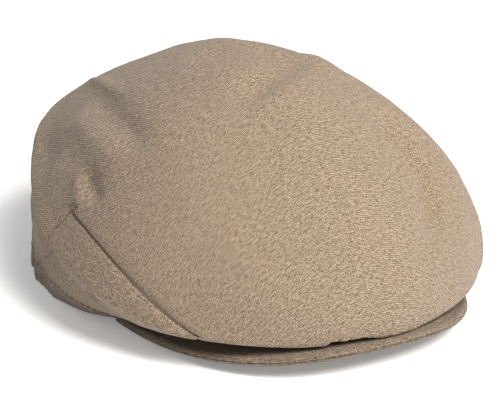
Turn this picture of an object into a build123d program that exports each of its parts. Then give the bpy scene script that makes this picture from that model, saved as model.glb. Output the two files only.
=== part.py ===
from build123d import *
import math
import os

import numpy as np

# Linen flat cap, in millimetres. +Z is up, the visor points along -Y, the origin is at the middle of
# the overall length and width, on the plane that the cap's rear hem stands on.
#
# An angle called "turn" goes round the cap: 0 is the centre front, 90 the wearer's left, 180 the back.
# The number called "reach" goes out over the crown: 0 is the summit, 1 the rim (the fold of the crown,
# which is the lip above the visor at the front), and RIM_TO_HEM more is the hem of the wall below it.

# Crown, outside
LENGTH = 250.5
CROWN_WIDTH = 203.0
CROWN_HEIGHT = 113.0
SUMMIT_Y = 5.9
LIP_Y = -121.9
WIDEST_Y = -19.5
RIM_SQUARENESS = -0.05
LIP_Z = 14.0
REAR_RIM_Z = 66.0
RIM_RISE = 1.53
ROUNDNESS_FRONT, ROUNDNESS_BACK, ROUNDNESS_SIDE = 1.23, 1.45, -0.1
SUMMIT_BLUNTNESS = 0.12
REACH_SPREAD = 1.43
RIM_TO_HEM = 0.6
# How far the smooth faces swell out past the rear crease that they round off
CREASE_SWELL = 0.93

# Head opening: an ellipse round HEAD_Y, with the hem raised over the visor at the front
HEAD_HALF_WIDTH = 91.3
HEAD_HALF_LENGTH = 99.8
HEAD_Y = 20.0
HEM_Z = 1.2
HEM_FRONT_Z = 13.6

# Side panels: a long front seam from the lip up to the apex, then a short rear seam down to the hem
SEAM_START, SEAM_APEX, SEAM_RIM, SEAM_HEM = 49.0, 96.0, 100.0, 106.0
APEX_REACH = 0.846
SEAM_CURVE = 1.4
SEAM_GAP = 0.5
FACE_TOLERANCE = 0.1

# Layers, as depths below the outside of the cap
LINEN = (0.0, 0.9)
SEAM_TAPE = (1.3, 1.8)
LINING = (2.3, 2.7)
LINING_HEM_Z, LINING_HEM_FRONT_Z = 12.5, 16.0
TAPE_HALF_WIDTH = 5.0

# Rear casing with its elastic, between the ends of the visor
CASING_START = 67.0
CASING_FOOT = 0.9
CASING_DEPTHS = (3.0, 3.7)
CASING_TOP = 11.0
ELASTIC_DEPTHS = (1.7, 2.6)
ELASTIC_Z = (1.4, 9.8)
ELASTIC_START = 100.0

# Sweatband and its label
SWEATBAND_DEPTHS = (4.2, 5.3)
SWEATBAND_HEIGHT = 28.0
SWEATBAND_JOIN = 0.4
LABEL_DEPTHS = (5.6, 6.0)
LABEL_Z = (7.0, 22.0)
LABEL_HALF_TURN = 9.0

# Visor: a sheet arched across its width, with its root under the front hem
VISOR_HALF_WIDTH = 80.4
VISOR_ROOT_Y = -15.15
VISOR_SQUARENESS = 0.06
VISOR_SIDE_Z, VISOR_CENTRE_Z = 1.6, 10.4
VISOR_THICKNESS = 2.6
VISOR_COVER = 0.6
VISOR_COVER_SPLIT = 0.04
BOARD_INSET, BOARD_PLAY = 1.6, 0.08
VISOR_ROOT_DEPTH = 3.0
VISOR_ROOT_TURN, VISOR_SIDE_TURN = 64.0, 80.0
ROOT_TAPE_DEPTHS = (3.2, 3.8)
ROOT_TAPE_HEIGHT = 11.0
ROOT_TAPE_CLEAR = 0.2

# Sewing thread that shows
THREAD = 0.5
TOPSTITCH = (2.9, 3.9)
CASING_STITCH = (3.8, 5.2)
TOPSTITCH_INSET = 4.0
CASING_STITCH_Z = 10.4
THREAD_LIFT = 0.12
TACK_XS = (-14.0, -4.0, 6.0)
TACK_Y, TACK_RADIUS, TACK_HEIGHT, TACK_LIFT = -112.0, 0.6, 0.5, 0.06

BACK_Y = LENGTH / 2 - CREASE_SWELL
VISOR_FRONT_Y = -LENGTH / 2


def rim(turn, depth):
    """The fold of the crown at an angle: an oval, fuller at the back, that rises rearwards."""
    c, s = np.cos(turn), np.sin(turn)
    front, back = LIP_Y + depth, BACK_Y - depth
    bulge = 1 + RIM_SQUARENESS * (1 + c) / 2 * np.sin(2 * turn) ** 2
    middle, half = (front + back) / 2, (back - front) / 2
    x = (CROWN_WIDTH / 2 - depth) * s * bulge
    y = (middle + WIDEST_Y) / 2 + (middle - WIDEST_Y) / 2 * np.cos(2 * turn) - half * c * bulge
    z = LIP_Z + (REAR_RIM_Z - LIP_Z) * ((1 - c) / 2) ** RIM_RISE + depth * np.clip(c, 0, 1) ** 2
    return x, y, z


def hem(turn, depth, low, front_high):
    """The bottom edge of the wall at an angle: the head ellipse, raised at the front over the visor."""
    c = np.cos(turn)
    x = (HEAD_HALF_WIDTH - depth) * np.sin(turn)
    y = HEAD_Y - (HEAD_HALF_LENGTH - depth) * c
    return x, y, low + (front_high - low) * np.clip(c, 0, 1) ** 1.5


def crown(turn, reach, depth, low=HEM_Z, front_high=HEM_FRONT_Z):
    """A point of the cap's cloth at an angle and a reach, at a depth below its outside.

    Up to the rim it is a dome whose section is a superellipse with a blunted summit. Past the rim it is
    a cubic curve that leaves the rim straight down and ends at the hem.
    """
    rim_x, rim_y, rim_z = rim(turn, depth)
    power = ROUNDNESS_FRONT + (ROUNDNESS_BACK - ROUNDNESS_FRONT) * (1 - np.cos(turn)) / 2
    power = power + ROUNDNESS_SIDE * np.sin(turn) ** 2
    out = 1 - (1 - np.clip(reach, 0, 1)) ** REACH_SPREAD
    blunt = SUMMIT_BLUNTNESS**2
    fall = (out**2 + blunt) ** (1 / power) - blunt ** (1 / power)
    fall = fall / ((1 + blunt) ** (1 / power) - blunt ** (1 / power))
    height = np.clip(1 - fall, 0, 1) ** (power / 2)
    dome = (
        rim_x * out,
        SUMMIT_Y + (rim_y - SUMMIT_Y) * out,
        rim_z + (CROWN_HEIGHT - depth - rim_z) * height,
    )
    hem_x, hem_y, hem_z = hem(turn, depth, low, front_high)
    w = np.clip((reach - 1) / RIM_TO_HEM, 0, 1)
    drop = rim_z - hem_z
    upper = (rim_x, rim_y, rim_z - 0.45 * drop)
    lower = (hem_x + 0.15 * (rim_x - hem_x), hem_y + 0.15 * (rim_y - hem_y), hem_z + 0.35 * drop)
    wall = [
        (1 - w) ** 3 * a + 3 * (1 - w) ** 2 * w * b + 3 * (1 - w) * w**2 * c + w**3 * d
        for a, b, c, d in zip((rim_x, rim_y, rim_z), upper, lower, (hem_x, hem_y, hem_z))
    ]
    return np.stack([np.where(reach <= 1, a, b) for a, b in zip(dome, wall)], axis=-1)


def plan(turn, reach):
    """A turn in radians and a reach as a point of a flat plan, where distance from the middle is reach."""
    return np.stack([reach * np.sin(turn), -reach * np.cos(turn)], axis=-1)


def from_plan(points):
    """The turn in radians and the reach of points of the flat plan."""
    return np.arctan2(points[..., 0], -points[..., 1]), np.hypot(points[..., 0], points[..., 1])


def seam_line(along):
    """The left side panel's seam in the flat plan, from the lip (0), round the apex, to the rim (1)."""
    k = np.clip(along / 0.7, 0, 1)
    turn = SEAM_START + (SEAM_APEX - SEAM_START) * k
    reach = 1 - (1 - APEX_REACH) * np.sin(k * math.pi / 2) ** SEAM_CURVE
    down = np.clip((along - 0.7) / 0.3, 0, 1)
    turn = turn + (SEAM_RIM - SEAM_APEX) * down
    reach = reach + (1 - APEX_REACH) * down**1.2
    return plan(np.radians(turn), reach)


def coons(bottom, top, left, right):
    """A grid that fills four edges given as point rows: the two ruled grids, less the corners' grid."""
    v = np.linspace(0, 1, len(left))[:, None, None]
    u = np.linspace(0, 1, len(bottom))[None, :, None]
    across = (1 - v) * bottom[None] + v * top[None]
    along = (1 - u) * left[:, None] + u * right[:, None]
    corners = (1 - v) * ((1 - u) * bottom[0] + u * bottom[-1]) + v * ((1 - u) * top[0] + u * top[-1])
    return across + along - corners


def face_of(grid):
    """A smooth face through a grid of points."""
    rows = [[tuple(float(value) for value in point) for point in row] for row in grid]
    return Face.make_surface_from_array_of_points(rows, tol=FACE_TOLERANCE)


def sheet_solid(outer, inner):
    """The closed solid between two grids of points that match one to one."""
    outside, inside = face_of(outer), face_of(inner)
    sides = [Face.make_surface_from_curves(a, b) for a, b in zip(outside.edges(), inside.edges())]
    solid = Solid(Shell([outside, inside, *sides]))
    return solid if solid.volume > 0 else Solid(Shell([inside, outside, *sides]))


def cloth_solid(turn, reach, depths, **hem_heights):
    """A cloth panel over a grid of turns and reaches, between two depths."""
    return sheet_solid(*(crown(turn, reach, depth, **hem_heights) for depth in depths))


def top_grid(columns=21, dome=19, wall=7):
    """Turns and reaches of the top panel: from the lip over the dome, then down the back."""
    side = np.linspace(-1, 1, columns)
    gap = SEAM_GAP / CROWN_WIDTH * 2
    seam = seam_line(np.linspace(0, 1, dome)) - np.array([gap, 0])
    start, rear = from_plan(seam[0])[0], from_plan(seam[-1])[0]
    back = math.pi - (math.pi - rear) * np.abs(side)
    back = np.where(side < 0, -back, back)
    turn, reach = from_plan(coons(plan(side * start, 1.0), plan(back, 1.0), seam * [-1, 1], seam))
    turn[-1] = back
    down = np.linspace(0, 1, wall)[1:, None]
    end = math.pi - (math.pi - np.radians(SEAM_HEM) - gap) * np.abs(side)
    end = np.where(side < 0, -end, end)
    rear_turn = back + (end - back) * down
    rear_reach = np.broadcast_to(1 + RIM_TO_HEM * down, rear_turn.shape)
    return np.vstack([turn, rear_turn]), np.vstack([reach, rear_reach])


def lip_grid(columns=15, rows=5):
    """Turns and reaches of the lip facing, which runs back under the lip from the rim to the visor seam."""
    start = np.radians(SEAM_START) - SEAM_GAP / CROWN_WIDTH * 2
    return np.meshgrid(np.linspace(-start, start, columns), np.linspace(1.02, 1 + RIM_TO_HEM, rows))


def side_grid(columns=25, rows=15):
    """Turns and reaches of the left side panel, from the hem up to the seam."""
    along = np.linspace(0, 1, columns)
    gap = SEAM_GAP / CROWN_WIDTH * 2
    top_turn, top_reach = from_plan(seam_line(along) + np.array([gap, 0]))
    hem_turn = np.linspace(top_turn[0], np.radians(SEAM_HEM) - gap, columns)
    up = np.linspace(0, 1, rows)[:, None]
    turn = hem_turn + (top_turn - hem_turn) * up
    reach = 1 + RIM_TO_HEM + (top_reach - 1 - RIM_TO_HEM) * up
    return turn, reach


def panels(depths, **hem_heights):
    """The top panel and the left and right side panels of one layer of cloth."""
    top = cloth_solid(*top_grid(), depths, **hem_heights)
    left = cloth_solid(*side_grid(), depths, **hem_heights)
    return top, left, mirror(left, about=Plane.YZ)


def seam_tape():
    """The cotton tape over the inside of the left seam, as a strip under its long and its short stretch."""
    strips = []
    half = TAPE_HALF_WIDTH / CROWN_WIDTH * 2
    for start, end in ((0.1, 0.66), (0.76, 0.97)):
        line = seam_line(np.linspace(start, end, 15))
        run = np.gradient(line, axis=0)
        across = np.stack([-run[:, 1], run[:, 0]], axis=-1) / np.linalg.norm(run, axis=1)[:, None]
        offsets = np.linspace(-half, half, 5)[:, None, None]
        strips.append(cloth_solid(*from_plan(line[None] + offsets * across[None]), SEAM_TAPE))
    return Compound(children=strips)


def head_strip(depths, low, high, start, end):
    """A flat-bottomed strip that follows the head ellipse from one turn to another, given in degrees."""
    low_z, high_z = low, high
    turns = np.radians(np.linspace(start, end, 41))
    rings = []
    for depth in depths:
        x, y, _ = hem(turns, depth, 0, 0)
        rings.append([(float(a), float(b)) for a, b in zip(x, y)])
    outer, inner = (Edge.make_spline([Vector(*point, low_z) for point in ring]) for ring in rings)
    ends = [
        Edge.make_line(outer @ 0, inner @ 0),
        Edge.make_line(outer @ 1, inner @ 1),
    ]
    return Solid.extrude(Face(Wire([outer, inner, *ends])), Vector(0, 0, high_z - low_z))


def raised_strip(depths, clear, height, start, end, columns=61):
    """A strip along the head ellipse whose bottom follows the raised front hem, given in degrees."""
    turns, ups = np.meshgrid(np.radians(np.linspace(start, end, columns)), np.linspace(0, 1, 4))
    grids = []
    for depth in depths:
        x, y, z = hem(turns, depth, HEM_Z, HEM_FRONT_Z)
        grids.append(np.stack([x, y, z + clear + height * ups], axis=-1))
    return sheet_solid(*grids)


def rear_casing():
    """The turned hem behind the visor: a foot under the wall's edge, and a leg that holds the elastic."""
    span = (CASING_START, 360 - CASING_START)
    foot = head_strip((0, CASING_DEPTHS[1]), 0, CASING_FOOT, *span)
    leg = head_strip(CASING_DEPTHS, 0, CASING_TOP, *span)
    return foot + leg


def arch(x):
    """The height of the visor's underside at a distance from its middle: a parabola across its width."""
    return VISOR_CENTRE_Z - (VISOR_CENTRE_Z - VISOR_SIDE_Z) * (x / VISOR_HALF_WIDTH) ** 2


def visor_edge(tau, inset):
    """The visor's outer edge at an angle from its middle, moved inwards: a superellipse-like curve."""
    bulge = 1 + VISOR_SQUARENESS * np.sin(2 * tau) ** 2
    reach = VISOR_ROOT_Y - VISOR_FRONT_Y - inset
    return (VISOR_HALF_WIDTH - inset) * np.sin(tau) * bulge, VISOR_ROOT_Y - reach * np.cos(tau) * bulge


def visor_prism(inset):
    """A tall prism over the visor's outline, with its edge moved inwards."""
    taus = np.radians(np.linspace(-VISOR_SIDE_TURN, VISOR_SIDE_TURN, 25))
    turns = np.radians(np.linspace(-VISOR_ROOT_TURN, VISOR_ROOT_TURN, 25))
    front = [Vector(float(x), float(y)) for x, y in zip(*visor_edge(taus, inset))]
    root_x, root_y, _ = hem(turns, VISOR_ROOT_DEPTH + inset, 0, 0)
    shrink = 1 - inset / VISOR_HALF_WIDTH
    root = [Vector(float(x) * shrink, float(y)) for x, y in zip(root_x, root_y)]
    edges = [
        Edge.make_spline(front),
        Edge.make_line(front[-1], root[-1]),
        Edge.make_spline(root[::-1]),
        Edge.make_line(root[0], front[0]),
    ]
    return Solid.extrude(Face(Wire(edges)), Vector(0, 0, CROWN_HEIGHT / 2))


def arch_slab(low, high):
    """The space between two heights above the visor's underside, over the whole of the visor."""
    half = CROWN_WIDTH / 2
    xs = np.linspace(-half, half, 21)
    curves = [
        Edge.make_spline([Vector(float(x), -LENGTH, float(arch(x)) + height) for x in xs])
        for height in (low, high)
    ]
    ends = [Edge.make_line(curves[0] @ k, curves[1] @ k) for k in (0, 1)]
    return Solid.extrude(Face(Wire([*curves, *ends])), Vector(0, 2 * LENGTH, 0))


def visor_layers():
    """The visor's top cover and under cover, which meet round its edge, and the board between them."""
    middle = VISOR_THICKNESS / 2
    whole = visor_prism(0)
    board_low, board_high = VISOR_COVER + BOARD_PLAY, VISOR_THICKNESS - VISOR_COVER - BOARD_PLAY
    board = visor_prism(BOARD_INSET) & arch_slab(board_low, board_high)
    pocket = visor_prism(BOARD_INSET - BOARD_PLAY) & arch_slab(VISOR_COVER, VISOR_THICKNESS - VISOR_COVER)
    top = (whole & arch_slab(middle + VISOR_COVER_SPLIT, VISOR_THICKNESS)) - pocket
    under = (whole & arch_slab(0, middle - VISOR_COVER_SPLIT)) - pocket
    return top, under, board


def stitches_along(points, outwards, length, pitch):
    """Stitches of a length and a pitch along a line of points, each a bar of thread on its surface."""
    steps = np.linalg.norm(np.diff(points, axis=0), axis=1)
    travelled = np.concatenate([[0], np.cumsum(steps)])
    count = int(travelled[-1] // pitch)
    bars = []
    for index in range(count):
        middle = (index + 0.5) * travelled[-1] / count
        at, before, after, up = (
            np.array([np.interp(middle + move, travelled, values[:, k]) for k in range(3)])
            for values, move in ((points, 0), (points, -1), (points, 1), (outwards, 0))
        )
        up = up / np.linalg.norm(up)
        origin = at + up * (THREAD_LIFT + THREAD / 2)
        place = Plane(origin=Vector(*origin), x_dir=Vector(*(after - before)), z_dir=Vector(*up))
        bars.append(place * Box(length, THREAD, THREAD))
    return Compound(children=bars)


def visor_topstitching():
    """The row of stitches on top of the visor, along its edge."""
    taus = np.radians(np.linspace(-VISOR_SIDE_TURN, VISOR_SIDE_TURN, 201))
    x, y = visor_edge(taus, TOPSTITCH_INSET)
    slope = -2 * (VISOR_CENTRE_Z - VISOR_SIDE_Z) * x / VISOR_HALF_WIDTH**2
    points = np.stack([x, y, arch(x) + VISOR_THICKNESS], axis=-1)
    return stitches_along(points, np.stack([-slope, 0 * x, 1 + 0 * x], axis=-1), *TOPSTITCH)


def casing_stitching():
    """The row of stitches round the outside of the wall that closes the rear casing."""
    turns = np.radians(np.linspace(CASING_START, 360 - CASING_START, 181))
    reaches = np.linspace(1, 1 + RIM_TO_HEM, 200)
    points, outwards = [], []
    for turn in turns:
        wall = crown(np.full_like(reaches, turn), reaches, 0.0)
        near = int(np.argmin(np.abs(wall[:, 2] - CASING_STITCH_Z)))
        points.append(wall[near])
        rise = wall[near - 1] - wall[near]
        round_cap = crown(turn + 0.01, reaches[near], 0.0) - crown(turn - 0.01, reaches[near], 0.0)
        outwards.append(np.cross(round_cap, rise))
    return stitches_along(np.array(points), np.array(outwards), *CASING_STITCH)


def lip_tacks():
    """The thread tacks that hold the lip down on the visor at the front."""
    top = [arch(x) + VISOR_THICKNESS + TACK_LIFT for x in TACK_XS]
    return Compound(
        children=[
            Pos(x, TACK_Y, z + TACK_HEIGHT / 2) * Cylinder(TACK_RADIUS, TACK_HEIGHT)
            for x, z in zip(TACK_XS, top)
        ]
    )


def cap_parts():
    """Every separate piece of the cap, by the name of its node."""
    parts = {}
    parts["crown_top_panel"], parts["side_panel_left"], parts["side_panel_right"] = panels(LINEN)
    parts["lip_facing"] = cloth_solid(*lip_grid(), LINEN)
    lining_hem = {"low": LINING_HEM_Z, "front_high": LINING_HEM_FRONT_Z}
    lining = panels(LINING, **lining_hem)
    parts["lining_top"], parts["lining_side_left"], parts["lining_side_right"] = lining
    parts["side_seam_tape_left"] = seam_tape()
    parts["side_seam_tape_right"] = mirror(parts["side_seam_tape_left"], about=Plane.YZ)
    parts["rear_casing"] = rear_casing()
    parts["rear_elastic"] = head_strip(ELASTIC_DEPTHS, *ELASTIC_Z, ELASTIC_START, 360 - ELASTIC_START)
    parts["casing_stitching"] = casing_stitching()
    join = 180 - SWEATBAND_JOIN
    parts["sweatband"] = raised_strip(SWEATBAND_DEPTHS, 0, SWEATBAND_HEIGHT, -join, join)
    label_span = (180 - LABEL_HALF_TURN, 180 + LABEL_HALF_TURN)
    parts["size_label"] = head_strip(LABEL_DEPTHS, *LABEL_Z, *label_span)
    parts["visor_top_cover"], parts["visor_under_cover"], parts["visor_board"] = visor_layers()
    root = VISOR_ROOT_TURN
    parts["visor_seam_tape"] = raised_strip(
        ROOT_TAPE_DEPTHS, ROOT_TAPE_CLEAR, ROOT_TAPE_HEIGHT, -root, root
    )
    parts["visor_topstitching"] = visor_topstitching()
    parts["lip_tack_stitches"] = lip_tacks()
    return parts


os.makedirs("parts", exist_ok=True)
for name, shape in cap_parts().items():
    export_step(shape, f"parts/{name}.step")
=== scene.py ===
import math

import bpy
import numpy as np
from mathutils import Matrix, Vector


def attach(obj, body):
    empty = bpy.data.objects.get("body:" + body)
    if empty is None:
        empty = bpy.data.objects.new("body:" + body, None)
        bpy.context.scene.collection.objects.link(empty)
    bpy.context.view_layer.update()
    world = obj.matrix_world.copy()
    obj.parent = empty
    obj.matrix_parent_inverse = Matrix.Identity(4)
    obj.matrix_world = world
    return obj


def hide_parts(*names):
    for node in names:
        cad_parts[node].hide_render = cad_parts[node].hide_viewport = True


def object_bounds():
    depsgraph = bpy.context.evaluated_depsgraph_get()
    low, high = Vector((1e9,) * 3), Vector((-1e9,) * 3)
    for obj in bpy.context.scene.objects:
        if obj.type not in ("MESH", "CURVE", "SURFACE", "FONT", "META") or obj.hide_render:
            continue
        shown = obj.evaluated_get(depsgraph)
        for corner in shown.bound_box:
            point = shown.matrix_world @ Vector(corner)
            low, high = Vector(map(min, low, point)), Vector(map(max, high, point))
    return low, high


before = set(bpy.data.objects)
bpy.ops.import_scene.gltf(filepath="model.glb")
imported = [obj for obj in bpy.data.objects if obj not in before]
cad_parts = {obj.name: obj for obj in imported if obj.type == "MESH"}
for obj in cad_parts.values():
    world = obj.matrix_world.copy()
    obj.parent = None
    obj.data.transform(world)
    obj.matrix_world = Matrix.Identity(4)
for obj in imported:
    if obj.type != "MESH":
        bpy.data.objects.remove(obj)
CAD_BOX = [list(corner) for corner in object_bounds()]

bl_info = {
    "name": "Linen flat cap",
    "version": (1, 0, 0),
    "blender": (4, 5, 0),
    "location": "3D View > Sidebar > Cap",
    "description": "Makes the cloth, trim and thread of a linen flat cap, and a small studio",
    "category": "Object",
}

# Shapes are worked out in millimetres: +Z up, the visor points along -Y, the wearer's left is +X.
# An angle called "turn" goes round the cap: 0 is the centre front, 90 degrees the wearer's left.
# The number called "reach" goes out over the crown: 0 is the summit, 1 the rim, which is the fold of
# the crown and the lip above the visor, and RIM_TO_HEM more is the hem of the wall below it.
MM = 0.001
CROWN_WIDTH, LENGTH, CROWN_HEIGHT = (
    round((high - low) / MM, 1) for low, high in zip(*CAD_BOX)
)

# Crown
SUMMIT_Y = 5.9
LIP_Y = -121.9
WIDEST_Y = -19.5
RIM_SQUARENESS = -0.05
LIP_Z = 14.0
REAR_RIM_Z = 66.0
RIM_RISE = 1.53
ROUNDNESS_FRONT, ROUNDNESS_BACK, ROUNDNESS_SIDE = 1.23, 1.74, -0.2
SUMMIT_BLUNTNESS = 0.12
REACH_SPREAD = 1.43
RIM_TO_HEM = 0.6
REAR_ROUNDING = 0.9

# Head opening
HEAD_HALF_WIDTH = 91.3
HEAD_HALF_LENGTH = 99.8
HEAD_Y = 20.0
HEM_Z, HEM_FRONT_Z = 0.5, 13.6
HEAD_MIDDLE = np.array([0.0, 0.0, 30.0])

# Side panels: a long front seam from the lip up to the apex, then a short rear seam down to the hem
SEAM_START, SEAM_APEX, SEAM_RIM, SEAM_HEM = 49.0, 96.0, 100.0, 106.0
APEX_REACH = 0.846
APEX_ALONG = 0.7
SEAM_CURVE = 1.4
SEAM_GAP = 0.06
LIP_TURN_UNDER = 0.14
# How much closer the grid's lines stand at a seam than in the middle of a panel
EDGE_CROWDING = 0.35
FOLD_ROUNDING = 1.2

# Layers, as depths below the outside of the cap
LINEN_THICK = 0.8
LINING_DEPTH, LINING_THICK = 2.3, 0.4
LINING_HEM_Z, LINING_HEM_FRONT_Z = 12.5, 16.0
TAPE_DEPTH, TAPE_THICK, TAPE_HALF_WIDTH = 1.3, 0.5, 5.0
# Over how many rows of its grid the tape turns the apex
TAPE_TURN_ROWS = 6.0

# Rear casing and elastic, sweatband and label
CASING_START, ELASTIC_START = 66.0, 100.0
CASING_TOP = 11.0
CASING_DEPTH, CASING_FOOT_Z = 2.25, 1.3
CASING_OUTER, CASING_INNER = 1.25, 0.7
SWEATBAND_DEPTHS = (4.2, 5.2)
SWEATBAND_HEIGHT = 28.0
SWEATBAND_JOIN = 0.4
SWEATBAND_STITCH = 2.5
LABEL_HALF_TURN = 9.0

# Visor
VISOR_HALF_WIDTH = 80.4
VISOR_ROOT_Y = -15.15
VISOR_SQUARENESS = 0.06
VISOR_SIDE_Z, VISOR_CENTRE_Z = 1.6, 10.4
VISOR_THICKNESS = 2.6
VISOR_COVER = 0.5
VISOR_ROOT_DEPTH = 3.0
VISOR_ROOT_TURN, VISOR_SIDE_TURN = 64.6, 86.0
ROOT_TAPE_HEIGHT = 11.0

# Sewing thread
THREAD = 0.5
TOPSTITCH = (2.9, 3.9)
CASING_STITCH = (3.4, 4.4)
TOPSTITCH_INSET = 4.0
CASING_STITCH_Z = 10.4
TACK_XS, TACK_Y = (-14.0, -4.0, 6.0), -112.0

# Studio, in metres: the middle of the view, and the key light's place and the length of its side
TARGET = (0.0, -0.00715, 0.045)
KEY_PLACE, KEY_SIZE = (0.3, -0.98, 1.26), 1.0

# Folds in the crown. Each one is a curve's start, pull and end, its height in millimetres (negative is
# a valley), and how wide it spreads on its left and on its right, seen from outside along the curve.
FOLDS = (
    # The crisp crease over the wearer's right temple, the hollows beside it and the ridge below them
    ((-30, 102, 70), (-42, 64, 88), (-52, 22, 93), 2.1, 2.0, 4.5),
    ((-46, 62, 80), (-63, 6, 90), (-67, -32, 83), -2.5, 6.5, 8.5),
    ((-58, 62, 72), (-76, 14, 80), (-77, -34, 73), 2.1, 8.0, 7.0),
    # The dent and the small bulge above the right side panel's apex
    ((-82, 2, 70), (-87, -9, 67), (-88, -25, 60), -2.5, 4.0, 5.0),
    ((-86, 8, 66), (-91, -5, 62), (-94, -10, 55), 2.0, 4.5, 3.5),
    ((-92, -10, 57), (-93, -7, 55), (-95, -3, 51), -1.5, 1.4, 1.4),
    # Soft valleys over the top and round the right of the crown's front
    ((34, -4, 108), (6, -28, 108), (-28, -38, 98), -3.8, 4.5, 9.0),
    ((28, -42, 96), (75, -69, 66), (28, -110, 40), -6.0, 8.0, 5.5),
    ((48, -24, 88), (84, -60, 63), (62, -100, 30), 2.4, 5.5, 8.0),
    ((34, 6, 104), (38, -10, 104), (38, -30, 98), 1.6, 8.0, 9.0),
    # The flattened summit and back of the crown
    ((-26, 16, 107), (6, 4, 112), (28, -14, 108), -3.4, 12.0, 15.0),
    ((-12, 66, 92), (2, 40, 106), (14, 24, 107), 0.9, 6.0, 8.0),
    ((-8, 118, 60), (-4, 110, 74), (6, 94, 84), -0.9, 9.0, 7.0),
    # The fullness of the wall behind the right side panel, and the slack above it
    ((-70, 74, 38), (-94, 42, 34), (-101, 8, 30), 2.2, 10.0, 10.0),
    ((-88, 30, 62), (-84, 52, 60), (-66, 80, 62), -2.4, 8.0, 10.0),
    # The wearer's left, a looser match of the right
    ((40, 86, 74), (52, 48, 86), (50, 8, 96), 1.4, 5.0, 6.0),
    ((60, 62, 70), (70, 14, 80), (84, -14, 62), -1.9, 7.0, 8.0),
    # The tuck where the rim's fold runs out into the lip
    ((-101, -30, 26), (-99, -34, 20), (-96, -36, 13), -2.0, 1.6, 2.2),
)


def form():
    """The sizes of the folds, seams and gathers that a user may change."""
    return bpy.context.scene.cap_form


def cloth():
    """The thread and the colours that a user may change."""
    return bpy.context.scene.cap_cloth


# ------------------------------------------------------------------------------------- shapes


def rim(turn, depth):
    """The fold of the crown: an oval, fuller at the back, that rises with a power of (1 - cos) / 2."""
    c, s = np.cos(turn), np.sin(turn)
    front, back = LIP_Y + depth, LENGTH / 2 - REAR_ROUNDING - depth
    bulge = 1 + RIM_SQUARENESS * (1 + c) / 2 * np.sin(2 * turn) ** 2
    middle, half = (front + back) / 2, (back - front) / 2
    x = (CROWN_WIDTH / 2 - depth) * s * bulge
    y = (middle + WIDEST_Y) / 2 + (middle - WIDEST_Y) / 2 * np.cos(2 * turn) - half * c * bulge
    z = LIP_Z + (REAR_RIM_Z - LIP_Z) * ((1 - c) / 2) ** RIM_RISE + depth * np.clip(c, 0, 1) ** 2
    return x, y, z


def hem(turn, depth, low=HEM_Z, front_high=HEM_FRONT_Z):
    """The wall's bottom edge: an ellipse round the head, raised at the front by a power of the cosine."""
    c = np.cos(turn)
    x = (HEAD_HALF_WIDTH - depth) * np.sin(turn)
    y = HEAD_Y - (HEAD_HALF_LENGTH - depth) * c
    return x, y, low + (front_high - low) * np.clip(c, 0, 1) ** 1.5


def crown(turn, reach, depth=0.0, **hem_heights):
    """A point of the crown's cloth at a depth below its outside.

    Up to the rim, a dome whose section is a superellipse with a blunted summit. Past the rim, a cubic
    Bezier curve that leaves the rim straight down and ends at the hem.
    """
    rim_x, rim_y, rim_z = rim(turn, depth)
    power = ROUNDNESS_FRONT + (ROUNDNESS_BACK - ROUNDNESS_FRONT) * (1 - np.cos(turn)) / 2
    power = power + ROUNDNESS_SIDE * np.sin(turn) ** 2
    out = 1 - (1 - np.clip(reach, 0, 1)) ** REACH_SPREAD
    blunt = SUMMIT_BLUNTNESS**2
    fall = (out**2 + blunt) ** (1 / power) - blunt ** (1 / power)
    fall = fall / ((1 + blunt) ** (1 / power) - blunt ** (1 / power))
    height = np.clip(1 - fall, 0, 1) ** (power / 2)
    dome = (
        rim_x * out,
        SUMMIT_Y + (rim_y - SUMMIT_Y) * out,
        rim_z + (CROWN_HEIGHT - depth - rim_z) * height,
    )
    hem_x, hem_y, hem_z = hem(turn, depth, **hem_heights)
    w = np.clip((reach - 1) / RIM_TO_HEM, 0, 1)
    drop = rim_z - hem_z
    upper = (rim_x, rim_y, rim_z - 0.45 * drop)
    lower = (hem_x + 0.15 * (rim_x - hem_x), hem_y + 0.15 * (rim_y - hem_y), hem_z + 0.35 * drop)
    wall = [
        (1 - w) ** 3 * a + 3 * (1 - w) ** 2 * w * b + 3 * (1 - w) * w**2 * c + w**3 * d
        for a, b, c, d in zip((rim_x, rim_y, rim_z), upper, lower, (hem_x, hem_y, hem_z))
    ]
    return np.stack([np.where(reach <= 1, a, b) for a, b in zip(dome, wall)], axis=-1)


def plan(turn, reach):
    """A turn and a reach as a point of a flat plan, where distance from the middle is reach."""
    return np.stack([reach * np.sin(turn), -reach * np.cos(turn)], axis=-1)


def from_plan(points):
    """The turn and the reach of points of the flat plan."""
    return np.arctan2(points[..., 0], -points[..., 1]), np.hypot(points[..., 0], points[..., 1])


def thread_plan(turn, reach):
    """The top panel's threads: each point's way over the crown from the summit, laid out straight."""
    steps = np.linspace(0, 1, 33)[:, None, None] * reach
    way = np.linalg.norm(np.diff(crown(turn, steps), axis=0), axis=-1).sum(axis=0)
    return plan(turn, way)


def seam_line(along):
    """The left side seam in the plan: a sine-shaped climb from the lip to the apex, then down to the rim."""
    k = np.clip(along / APEX_ALONG, 0, 1)
    turn = SEAM_START + (SEAM_APEX - SEAM_START) * k
    reach = 1 - (1 - APEX_REACH) * np.sin(k * math.pi / 2) ** SEAM_CURVE
    down = np.clip((along - APEX_ALONG) / (1 - APEX_ALONG), 0, 1)
    turn = turn + (SEAM_RIM - SEAM_APEX) * down
    reach = reach + (1 - APEX_REACH) * down**1.2
    return plan(np.radians(turn), reach)


def coons(bottom, top, left, right, share):
    """A grid that fills four edges: the two ruled grids between opposite edges, less the corners' grid."""
    v = np.linspace(0, 1, len(left))[:, None, None]
    u = share[None, :, None]
    across = (1 - v) * bottom[None] + v * top[None]
    along = (1 - u) * left[:, None] + u * right[:, None]
    corners = (1 - v) * ((1 - u) * bottom[0] + u * bottom[-1]) + v * ((1 - u) * top[0] + u * top[-1])
    return across + along - corners


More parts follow.
